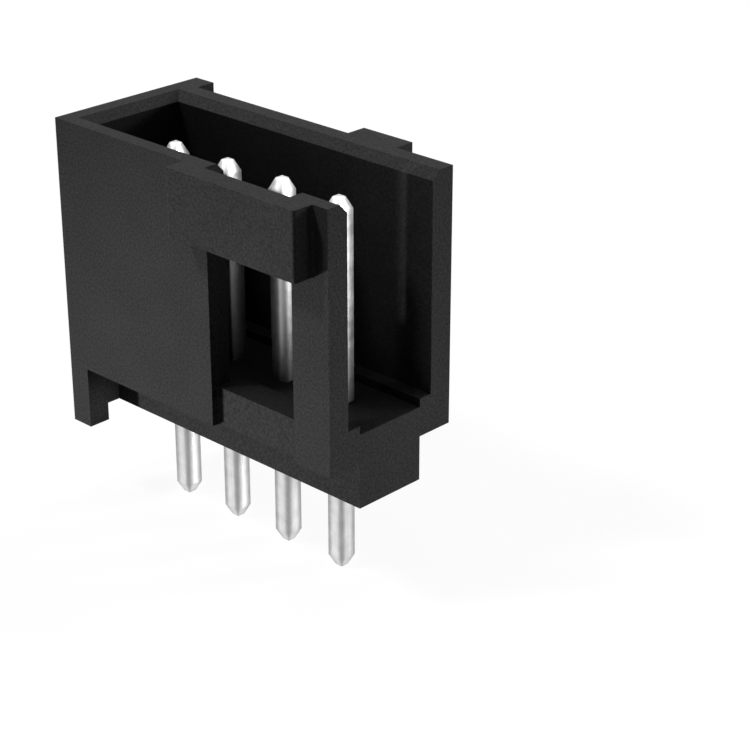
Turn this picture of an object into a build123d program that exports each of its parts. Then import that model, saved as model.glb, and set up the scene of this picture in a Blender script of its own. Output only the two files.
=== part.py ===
from build123d import *
import os

# A shrouded pin header: four square contact pins in one row, standing in a moulded housing that is
# open at the top and cut off square at its right-hand end.
# Millimetres. X runs along the row, -Y is the latch side, +Z is up. The origin is on the first
# contact's axis, at the height of the circuit board that the housing's feet stand on.

# Row of contacts
pitch = 2.54
contact_count = 4
row_cut_margin = 2.21        # last contact's axis to the cut face
row_end_margin = 2.88        # first contact's axis to the outside of the end wall

# Contact pins
pin_width = 0.64
pin_edge_radius = 0.03
pin_top = 10.25              # above the board
pin_tail = 2.81              # below the board
pin_tip_height = 0.38
pin_tip_width = 0.30
pin_tip_radius = 0.02
pin_hole_gap = 0.0           # press fit: the hole is the pin's own size

# Housing walls
latch_face = 2.72            # row's centre line to the outside of the latch wall
back_face = 2.80             # row's centre line to the outside of the back wall
cavity_half = 1.90           # row's centre line to the inside of both long walls
end_wall = 0.89
shroud_top = 11.10
wall_foot = 2.21             # underside of the long walls
lead_in = 0.30               # chamfer round the mouth of the cavity

# Floor and base block
base_half = 1.39
base_bottom = 0.645
channel_half = 1.385
channel_floor = 3.26
ledge_top = 3.55

# Feet and ear of the end wall
latch_foot = 0.82            # width of the foot on the latch side
back_foot = 1.74             # width of the foot on the back
ear_reach = 3.55             # row's centre line to the back of the ear and of the rib

# Latch window, the bar that bridges it and the rib behind it
latch_centre = 2.5 * pitch   # midway between the third contact and the fourth
window_width = 3.81
window_recess = 0.28
recess_corner_radius = 0.10
bar_width = 5.70
bar_depth = 0.78
bar_height = 2.31
bar_edge_radius = 0.10
bar_root_radius = 0.10
rib_width = 2.15

row_length = (contact_count - 1) * pitch
end_face = -row_end_margin
cut_face = row_length + row_cut_margin
cavity_end = end_face + end_wall
housing_length = cut_face - end_face
section_plane = Plane.YZ.offset(end_face)
contact_places = [(number * pitch, 0) for number in range(contact_count)]


def block(x, y, z):
    """A box given by its lowest and highest X, Y and Z."""
    size = [high - low for low, high in (x, y, z)]
    return Pos(x[0], y[0], z[0]) * Box(*size, align=(Align.MIN, Align.MIN, Align.MIN))


def band(y, z):
    """A rectangle of the cross-section, given by its lowest and highest Y and Z."""
    return Pos(y[0], z[0]) * Rectangle(y[1] - y[0], z[1] - z[0], align=(Align.MIN, Align.MIN))


def long_walls():
    """The section that runs along the row: two walls on a shallow channel and a narrower base."""
    outside = band((-latch_face, back_face), (wall_foot, shroud_top))
    base = band((-base_half, base_half), (base_bottom, wall_foot))
    cavity = band((-cavity_half, cavity_half), (ledge_top, shroud_top))
    channel = band((-channel_half, channel_half), (channel_floor, ledge_top))
    return extrude(section_plane * (outside + base - cavity - channel), housing_length)


def end_plate():
    """The closed end, with a foot at each side and an ear that stands out behind the back wall."""
    plate = band((-latch_face, ear_reach), (0, shroud_top))
    foot_gap = band((latch_foot - latch_face, ear_reach - back_foot), (0, base_bottom))
    return extrude(section_plane * (plate - foot_gap), end_wall)


def mouth_edges(shell):
    """The cavity's top edges along both long walls and the end wall."""
    rim = shell.edges().group_by(Axis.Z)[-1]
    half_mouth = cavity_half + lead_in / 2
    inner = rim.filter_by_position(Axis.Y, -half_mouth, half_mouth)
    return inner.filter_by_position(Axis.X, end_face + end_wall / 2, cut_face)


def latch_window():
    """The slot in the latch wall: a shallow recess down to the wall's foot, cut through above the ledge."""
    across = (latch_centre - window_width / 2, latch_centre + window_width / 2)
    recess = block(across, (-latch_face, window_recess - latch_face), (wall_foot, shroud_top))
    inner_corners = recess.edges().filter_by(Axis.Z).group_by(Axis.Y)[-1]
    opening = block(across, (-latch_face, -cavity_half), (ledge_top, shroud_top))
    return fillet(inner_corners, recess_corner_radius) + opening


def latch_bar():
    """The bar across the top of the window, outside the wall: outer corners eased and roots filleted."""
    bar = Rectangle(bar_width, bar_depth, align=(Align.CENTER, Align.MAX))
    bar = fillet(bar.vertices().group_by(Axis.Y)[0], bar_edge_radius)
    root_end = bar_width / 2 + bar_root_radius
    roots = Rectangle(2 * root_end, bar_root_radius, align=(Align.CENTER, Align.MAX))
    for side in (-1, 1):
        roots -= Pos(side * root_end, -bar_root_radius) * Circle(bar_root_radius)
    return extrude(Pos(latch_centre, -latch_face, shroud_top - bar_height) * (bar + roots), bar_height)


def back_rib():
    """The rib on the outside of the back wall, opposite the window."""
    across = (latch_centre - rib_width / 2, latch_centre + rib_width / 2)
    return block(across, (back_face, ear_reach), (wall_foot, shroud_top))


def pin_section(width, radius):
    return RectangleRounded(width, width, radius)


def contact_holes():
    """The square holes that the contacts are pressed into, one through the base at each place."""
    side = pin_width + 2 * pin_hole_gap
    hole = extrude(Pos(0, 0, base_bottom) * pin_section(side, pin_edge_radius), channel_floor - base_bottom)
    return [Pos(*place) * hole for place in contact_places]


def housing():
    shell = long_walls() + end_plate()
    shell = chamfer(mouth_edges(shell), lead_in)
    shell = shell - latch_window() + latch_bar() + back_rib()
    shell = shell - contact_holes()
    return split(shell, Plane.YZ.offset(cut_face), keep=Keep.BOTTOM)


def tip():
    """A pin's tapered end, from the full section at Z = 0 up to its blunt point."""
    point = Pos(0, 0, pin_tip_height) * pin_section(pin_tip_width, pin_tip_radius)
    return loft([pin_section(pin_width, pin_edge_radius), point])


def contact_pin():
    """One contact: a square wire with rounded long edges and a taper at each end."""
    shank_top = pin_top - pin_tip_height
    shank_bottom = pin_tip_height - pin_tail
    shank = extrude(Pos(0, 0, shank_bottom) * pin_section(pin_width, pin_edge_radius), shank_top - shank_bottom)
    return shank + Pos(0, 0, shank_top) * tip() + Pos(0, 0, shank_bottom) * Rot(180, 0, 0) * tip()


os.makedirs("parts", exist_ok=True)
export_step(housing(), "parts/housing.step")
for number, place in enumerate(contact_places, start=1):
    export_step(Pos(*place) * contact_pin(), f"parts/contact_pin_{number}.step")
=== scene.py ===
"""A shrouded pin header, cut square at one end: surface finish, studio and camera.

Metres, in the part's own frame: X along the row, -Y the latch side, +Z up out of the board.
"""

import math
import bpy
from mathutils import Matrix, Vector

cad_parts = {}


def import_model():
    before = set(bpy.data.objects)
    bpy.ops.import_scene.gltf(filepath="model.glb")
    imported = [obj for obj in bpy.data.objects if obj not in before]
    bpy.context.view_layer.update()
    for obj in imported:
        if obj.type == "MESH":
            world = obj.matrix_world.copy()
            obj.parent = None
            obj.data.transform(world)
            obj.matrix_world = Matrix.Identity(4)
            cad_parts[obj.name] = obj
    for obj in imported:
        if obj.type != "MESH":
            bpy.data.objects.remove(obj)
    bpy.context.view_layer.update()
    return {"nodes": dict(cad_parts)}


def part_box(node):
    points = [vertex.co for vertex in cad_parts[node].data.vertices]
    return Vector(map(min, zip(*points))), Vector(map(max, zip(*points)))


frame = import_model()

mm = 0.001
HOUSING = "housing"
PINS = sorted(name for name in frame["nodes"] if name.startswith("contact_pin"))
TAIL_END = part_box(PINS[0])[0].z

# Camera: the photograph's own, fitted to the object's corners
AZIMUTH, ELEVATION, ROLL = 43.763, 24.732, -0.030       # degrees
AIM = Vector((9.0048, 0.0, 4.7031)) * mm
DISTANCE = 66.180 * mm
LENS, SENSOR = 100.417, 36.0                            # focal length and width, in millimetres
SHIFT = (0.00472, -0.00401)
NEAREST, FURTHEST = 1 * mm, 2.0

# Colours, linear
BLACK = (0.040, 0.040, 0.041)
TIN = (0.80, 0.80, 0.80)
WHITE = (1.0, 1.0, 1.0)
FLOOR = (0.12, 0.12, 0.12)

# The range that noise mostly fills
NOISE = (0.3, 0.7)

# Black plastic. The grain's tone is added to the cloud's, and their sum multiplies the colour
GRAIN_SIZE, FIBRE_SIZE, CLOUD_SIZE = 0.080 * mm, 0.16 * mm, 2.2 * mm
GRAIN_TONE, CLOUD_TONE = (-0.36, 0.36), (0.94, 1.06)
GRAIN_HEIGHT = 0.006 * mm
PLASTIC_ROUGHNESS = (0.46, 0.58)
PLASTIC_SPECULAR = 0.02

# Tin plate. Drawn lines run along the pin, and all the tones, painted shade among them, multiply the colour
LINE_SIZE, LUSTRE_SIZE = 0.030 * mm, 0.35 * mm
LINE_STRETCH = 0.03                                     # a line's width as a share of its length
LINE_TONE, LUSTRE_TONE = (0.93, 1.05), (0.90, 1.06)
LINE_ROUGHNESS, LUSTRE_ROUGHNESS = (-0.03, 0.03), (0.44, 0.52)
LINE_HEIGHT = 0.002 * mm
CORNER, CORNER_PAINTED_SHADE = (0.40, 0.80), (1.0, 0.66)         # painted shade, by the nearness to a long edge
SOFT_EDGE = 0.15 * mm
ROUNDNESS = 0.75                                        # 0 reflects like a square pin, 1 like a round one
SHELTER_REACH = 4 * mm
SHELTER, SHELTER_PAINTED_SHADE = (0.12, 0.55), (0.16, 1.0)       # painted shade, by the share of open sky round a point

# The box where shade is painted: the hollow of the shroud, from inside the end wall to the cut, and from in
# the window to the back wall
PAINTED_SHADE_LOW = Vector((-2.00, -2.70, 3.20)) * mm
PAINTED_SHADE_HIGH = Vector((9.82, 1.92, 10.78)) * mm

# Painted shade there: what the plastic loses of its tone, by the share of open sky, and the posts by their
# height, more towards the floor
SKY_REACH = 14 * mm
SKY, SKY_PAINTED_SHADE = (0.50, 0.92), (0.78, 0.0)
POST_HEIGHT, POST_PAINTED_SHADE = (3.3 * mm, 7.0 * mm), (0.60, 0.0)

# The floor and the plain level of light on everything
FLOOR_SIZE = 0.6
FLOOR_GLOW = 0.92
AMBIENT = 0.08

# The room that the metal reflects: pale at both sides, greyer in front of the object and behind it
ROOM_FRONT = 45.0                                       # degrees
ROOM_TONES = ((0.0, 0.40), (0.10, 0.55), (0.30, 0.85), (0.78, 0.80), (0.95, 0.52), (1.0, 0.48))
SOFTBOX = (0.0, 0.6)                                    # what hangs over it, in reflections alone
SOFTBOX_HEIGHT = (0.1, 0.6)                             # sine of the angle above the horizon

# Spot lamps hang this far from what they are aimed at
LAMP_DISTANCE = 150 * mm

# The kinds of light that a lamp gives, diffuse and gloss. Metal takes up gloss alone
DIFFUSE, GLOSS, BOTH = (True, False), (False, True), (True, True)


def colour(rgb):
    return (*rgb, 1.0)


class Nodes:
    """The node tree of a material or of the world, with a short way to add and join nodes."""

    def __init__(self, tree):
        self.tree = tree
        self.tree.nodes.clear()

    def add(self, kind, inputs=None, **settings):
        node = self.tree.nodes.new(kind)
        for name, value in settings.items():
            setattr(node, name, value)
        for name, value in (inputs or {}).items():
            self.put(node.inputs[name], value)
        return node

    def put(self, socket, value):
        if isinstance(value, bpy.types.NodeSocket):
            self.tree.links.new(value, socket)
        else:
            socket.default_value = value

    def math(self, operation, *values):
        node = self.add("ShaderNodeMath", operation=operation)
        for socket, value in zip(node.inputs, values):
            self.put(socket, value)
        return node.outputs[0]

    def vector(self, operation, *values):
        inputs = dict(enumerate(values))
        return self.add("ShaderNodeVectorMath", inputs, operation=operation).outputs[0]

    def spread(self, value, source, target):
        """value taken from the range source to the range target, and held inside it."""
        node = self.add("ShaderNodeMapRange", {"Value": value, "From Min": source[0], "From Max": source[1],
                                               "To Min": target[0], "To Max": target[1]})
        return node.outputs["Result"]

    def steps(self, value, stops):
        """A number that runs smoothly through stops, pairs of a place from 0 to 1 and the number there."""
        ramp = self.add("ShaderNodeValToRGB", {"Fac": value})
        ramp.color_ramp.interpolation = "EASE"
        points = ramp.color_ramp.elements
        while len(points) < len(stops):
            points.new(1.0)
        for point, (place, level) in zip(points, stops):
            point.position = place
            point.color = (level, level, level, 1.0)
        return ramp.outputs["Color"]

    def noise(self, place, size, detail=2.0, roughness=0.5):
        """Noise whose features are about size metres across, from 0 to 1."""
        node = self.add("ShaderNodeTexNoise", {"Vector": place, "Scale": 1 / size, "Detail": detail,
                                               "Roughness": roughness})
        return node.outputs["Fac"]

    def inside(self, place, low, high):
        """1 for a point in the box from low to high, and 0 outside it."""
        centre, half = (low + high) / 2, (high - low) / 2
        share = self.vector("DIVIDE", self.vector("SUBTRACT", place, centre), half)
        parts = self.add("ShaderNodeSeparateXYZ", {0: self.vector("ABSOLUTE", share)}).outputs
        furthest = self.math("MAXIMUM", self.math("MAXIMUM", parts["X"], parts["Y"]), parts["Z"])
        return self.math("LESS_THAN", furthest, 1.0)

    def paint_hollow_shade(self, tone, place, shade_share):
        """tone darkened by the share shade_share of it in the hollow of the shroud, as painted shade, and
        tone itself elsewhere.
        """
        lost = self.math("MULTIPLY", shade_share, self.inside(place, PAINTED_SHADE_LOW, PAINTED_SHADE_HIGH))
        return self.math("MULTIPLY", tone, self.math("SUBTRACT", 1.0, lost))

    def seen(self, by_eye, by_gloss):
        """A number for what the camera sees, straight or through glass, and another for reflections."""
        path = self.add("ShaderNodeLightPath")
        eye = self.math("MAXIMUM", path.outputs["Is Camera Ray"], path.outputs["Is Transmission Ray"])
        gloss = self.math("MULTIPLY", path.outputs["Is Glossy Ray"], by_gloss)
        return self.math("ADD", self.math("MULTIPLY", eye, by_eye), gloss)

    def tint(self, rgb, amount):
        """A colour made lighter or darker by the number or output amount."""
        node = self.add("ShaderNodeMix", data_type="RGBA", blend_type="MULTIPLY")
        colours = [socket for socket in node.inputs if socket.type == "RGBA"]
        node.inputs[0].default_value = 1.0
        self.put(colours[0], colour(rgb))
        self.put(colours[1], amount)
        return [socket for socket in node.outputs if socket.type == "RGBA"][0]


def new_material(name):
    material = bpy.data.materials.new(name)
    material.use_nodes = True
    return material, Nodes(material.node_tree)


def black_plastic():
    """Black glass-filled nylon: a fine moulded grain, slightly uneven in gloss and depth of colour, with
    painted shade in the hollow of the shroud.
    """
    material, nodes = new_material("black_plastic")
    place = nodes.add("ShaderNodeTexCoord").outputs["Object"]
    grain = nodes.noise(place, GRAIN_SIZE, detail=3.0, roughness=0.6)
    cloud = nodes.noise(place, CLOUD_SIZE)
    fibre = nodes.noise(place, FIBRE_SIZE, detail=4.0, roughness=0.7)
    sky = nodes.add("ShaderNodeAmbientOcclusion", {"Distance": SKY_REACH}, samples=8, only_local=True)
    tone = nodes.spread(cloud, NOISE, CLOUD_TONE)
    tone = nodes.math("ADD", tone, nodes.spread(grain, NOISE, GRAIN_TONE))
    # Painted shade: the hollow of the shroud is darkened, more where less open sky is round a point
    tone = nodes.paint_hollow_shade(tone, place, nodes.spread(sky.outputs["AO"], SKY, SKY_PAINTED_SHADE))
    rough = nodes.spread(fibre, NOISE, PLASTIC_ROUGHNESS)
    bump = nodes.add("ShaderNodeBump", {"Strength": 0.25, "Distance": GRAIN_HEIGHT, "Height": grain})
    shader = nodes.add("ShaderNodeBsdfPrincipled", {
        "Base Color": nodes.tint(BLACK, tone), "Roughness": rough, "Specular IOR Level": PLASTIC_SPECULAR,
        "Normal": bump.outputs["Normal"]})
    nodes.add("ShaderNodeOutputMaterial", {"Surface": shader.outputs["BSDF"]})
    return material


def corner_nearness(nodes):
    """How near a point of a square pin is to a long edge, from 0 in the middle of a side to 1."""
    across = nodes.add("ShaderNodeSeparateXYZ", {0: nodes.add("ShaderNodeTexCoord").outputs["Generated"]})
    sides = [nodes.spread(across.outputs[axis], (0.0, 1.0), (-1.0, 1.0)) for axis in "XY"]
    return nodes.math("MINIMUM", *[nodes.math("ABSOLUTE", side) for side in sides])


def rounded_normal(nodes, base, share):
    """The surface's own direction, turned by share towards that of a round pin, with its slope kept."""
    across = nodes.add("ShaderNodeTexCoord").outputs["Generated"]
    centred = nodes.vector("SUBTRACT", across, (0.5, 0.5, 0.5))
    radial = nodes.vector("NORMALIZE", nodes.vector("MULTIPLY", centred, (1.0, 1.0, 0.0)))
    pull = nodes.vector("MULTIPLY", radial, (share, share, share))
    kept = nodes.vector("MULTIPLY", base, (1 - share, 1 - share, 1.0))
    return nodes.vector("NORMALIZE", nodes.vector("ADD", pull, kept))


def tin_plate():
    """Bright tin over a drawn wire: faint lines along the pin and a soft uneven lustre, with painted shade
    along its long edges, where little open sky is round it, and low in the hollow.
    """
    material, nodes = new_material("tin_plate")
    place = nodes.add("ShaderNodeTexCoord").outputs["Object"]
    stretched = nodes.add("ShaderNodeMapping", {"Vector": place, "Scale": (1.0, 1.0, LINE_STRETCH)})
    lines = nodes.noise(stretched.outputs["Vector"], LINE_SIZE, detail=3.0, roughness=0.6)
    lustre = nodes.noise(place, LUSTRE_SIZE, detail=3.0, roughness=0.6)
    shelter = nodes.add("ShaderNodeAmbientOcclusion", {"Distance": SHELTER_REACH}, samples=8).outputs["AO"]
    height = nodes.add("ShaderNodeSeparateXYZ", {0: place}).outputs["Z"]
    tone = nodes.spread(lustre, NOISE, LUSTRE_TONE)
    tone = nodes.math("MULTIPLY", tone, nodes.spread(lines, NOISE, LINE_TONE))
    # Painted shade along the long edges, where the pin's reflection is greyer
    tone = nodes.math("MULTIPLY", tone, nodes.spread(corner_nearness(nodes), CORNER, CORNER_PAINTED_SHADE))
    # Painted shade where little open sky is round a point, near the housing and the floor
    tone = nodes.math("MULTIPLY", tone, nodes.spread(shelter, SHELTER, SHELTER_PAINTED_SHADE))
    # Painted shade on the posts in the hollow, darker towards the floor
    tone = nodes.paint_hollow_shade(tone, place, nodes.spread(height, POST_HEIGHT, POST_PAINTED_SHADE))
    rough = nodes.spread(lustre, NOISE, LUSTRE_ROUGHNESS)
    rough = nodes.math("ADD", rough, nodes.spread(lines, NOISE, LINE_ROUGHNESS))
    soft = nodes.add("ShaderNodeBevel", {"Radius": SOFT_EDGE}, samples=8)
    rounded = rounded_normal(nodes, soft.outputs["Normal"], ROUNDNESS)
    bump = nodes.add("ShaderNodeBump", {"Strength": 0.25, "Distance": LINE_HEIGHT, "Height": lines,
                                        "Normal": rounded})
    shader = nodes.add("ShaderNodeBsdfPrincipled", {
        "Base Color": nodes.tint(TIN, tone), "Metallic": 1.0, "Roughness": rough,
        "Normal": bump.outputs["Normal"]})
    nodes.add("ShaderNodeOutputMaterial", {"Surface": shader.outputs["BSDF"]})
    return material


def dress(node, material):
    mesh = frame["nodes"][node].data
    mesh.materials.clear()
    mesh.materials.append(material)


def floor():
    """The surface that the tails stand on: white to the eye, with the object's shadow kept.

    It casts no shadow itself, so the lamps that point up shine through it.
    """
    bpy.ops.mesh.primitive_plane_add(size=FLOOR_SIZE, location=(AIM.x, AIM.y, TAIL_END))
    plane = bpy.context.object
    plane.name = "floor"
    plane.visible_shadow = False
    plane.visible_glossy = False
    material, nodes = new_material("floor")
    paint = nodes.add("ShaderNodeBsdfDiffuse", {"Color": colour(FLOOR)})
    glow = nodes.add("ShaderNodeEmission", {"Color": colour(WHITE), "Strength": nodes.seen(FLOOR_GLOW, 0.0)})
    both = nodes.add("ShaderNodeAddShader", {0: paint.outputs[0], 1: glow.outputs[0]})
    nodes.add("ShaderNodeOutputMaterial", {"Surface": both.outputs[0]})
    plane.data.materials.append(material)


def world():
    """The room: white to the eye, pale and uneven in reflections, and a plain level of light besides."""
    room = bpy.data.worlds.new("room")
    room.use_nodes = True
    bpy.context.scene.world = room
    nodes = Nodes(room.node_tree)
    direction = nodes.add("ShaderNodeTexCoord").outputs["Generated"]
    level = nodes.vector("NORMALIZE", nodes.vector("MULTIPLY", direction, (1.0, 1.0, 0.0)))
    front = math.radians(ROOM_FRONT)
    ahead = (math.sin(front), -math.cos(front), 0.0)
    facing = nodes.add("ShaderNodeVectorMath", {0: level, 1: ahead}, operation="DOT_PRODUCT")
    around = nodes.spread(facing.outputs["Value"], (-1.0, 1.0), (0.0, 1.0))
    height = nodes.add("ShaderNodeSeparateXYZ", {0: direction}).outputs["Z"]
    overhead = nodes.spread(height, SOFTBOX_HEIGHT, SOFTBOX)
    mirrored = nodes.math("ADD", nodes.steps(around, ROOM_TONES), overhead)
    strength = nodes.math("ADD", nodes.seen(1 - AMBIENT, mirrored), AMBIENT)
    sky = nodes.add("ShaderNodeBackground", {"Color": colour(WHITE), "Strength": strength})
    nodes.add("ShaderNodeOutputWorld", {"Surface": sky.outputs[0]})


def hang(name, lamp, kinds, place, travel):
    """Puts a lamp at place, with its light travelling along the vector travel."""
    holder = bpy.data.objects.new(name, lamp)
    holder.location = place
    holder.rotation_euler = Vector(travel).to_track_quat("-Z", "Y").to_euler()
    holder.visible_diffuse, holder.visible_glossy = kinds
    bpy.context.scene.collection.objects.link(holder)


def sun(name, kinds, travel, level, disc):
    """A distant lamp whose light travels along the vector travel. It looks disc degrees across."""
    lamp = bpy.data.lights.new(name, "SUN")
    lamp.energy = level
    lamp.angle = math.radians(disc)
    hang(name, lamp, kinds, (0.0, 0.0, 0.0), travel)


def spot(name, kinds, aim, travel, level, width, radius):
    """A lamp that lights a soft patch round aim, width degrees across, from along the vector travel.

    In its middle the patch is as strong as a sun of that level. aim and radius are in millimetres.
    """
    lamp = bpy.data.lights.new(name, "SPOT")
    lamp.energy = level * 4 * math.pi * LAMP_DISTANCE ** 2
    lamp.spot_size = math.radians(width)
    lamp.spot_blend = 1.0
    lamp.shadow_soft_size = radius * mm
    heading = Vector(travel).normalized()
    hang(name, lamp, kinds, Vector(aim) * mm - heading * LAMP_DISTANCE, heading)


def lights():
    """Seven lamps light the plastic, three of them from below, and five give the metal its glints."""
    spot("key", DIFFUSE, (5.0, -2.7, 0.0), (0.87, 1.0, 0.48), level=3.5, width=14, radius=5)
    spot("fill", DIFFUSE, (9.8, 0.0, 1.0), (-0.87, -1.1, 0.45), level=2.35, width=12, radius=8)
    spot("foot", DIFFUSE, (-2.0, -2.3, 0.6), (-1.0, 0.05, 0.1), level=1.8, width=1.0, radius=1)
    sun("back", DIFFUSE, (-0.6, -1.0, -0.35), level=1.1, disc=10)
    sun("top", BOTH, (0.0, -0.55, -1.0), level=0.4, disc=10)
    sun("overhead", BOTH, (0.0, 0.0, -1.0), level=0.30, disc=20)
    sun("brow", BOTH, (0.4, 0.6, -1.0), level=1.45, disc=10)
    sun("glint_left", GLOSS, (0.53, 0.62, -0.57), level=1.9, disc=40)
    sun("glint_back", GLOSS, (-0.64, -0.58, -0.5), level=1.3, disc=40)
    spot("glint_right", GLOSS, (7.9, 0.0, 10.5), (-1.0, -0.35, -0.1), level=6.0, width=5.5, radius=3)
    spot("glint_low", GLOSS, (0.0, 0.0, -1.0), (-0.72, -0.54, 0.42), level=0.75, width=2.2, radius=3)
    spot("glint_tip", GLOSS, (2.54, 0.1, 9.7), (-1.0, -0.1, -0.3), level=8.0, width=1.0, radius=1)


def camera():
    """The photograph's camera. Azimuth 0 looks straight at the latch side, and 90 at the cut end."""
    azimuth, elevation = math.radians(AZIMUTH), math.radians(ELEVATION)
    back = Vector((math.sin(azimuth) * math.cos(elevation), -math.cos(azimuth) * math.cos(elevation),
                   math.sin(elevation)))
    lens = bpy.data.cameras.new("camera")
    lens.lens = LENS
    lens.sensor_width = SENSOR
    lens.shift_x, lens.shift_y = SHIFT
    lens.clip_start, lens.clip_end = NEAREST, FURTHEST
    holder = bpy.data.objects.new("camera", lens)
    turn = (-back).to_track_quat("-Z", "Y").to_matrix().to_4x4()
    roll = Matrix.Rotation(math.radians(ROLL), 4, "Z")
    holder.matrix_world = Matrix.Translation(AIM + back * DISTANCE) @ turn @ roll
    bpy.context.scene.collection.objects.link(holder)
    bpy.context.scene.camera = holder


plastic = black_plastic()
tin = tin_plate()
dress(HOUSING, plastic)
for pin in PINS:
    dress(pin, tin)

floor()
world()
lights()
camera()
bpy.context.scene.view_settings.view_transform = "Standard"
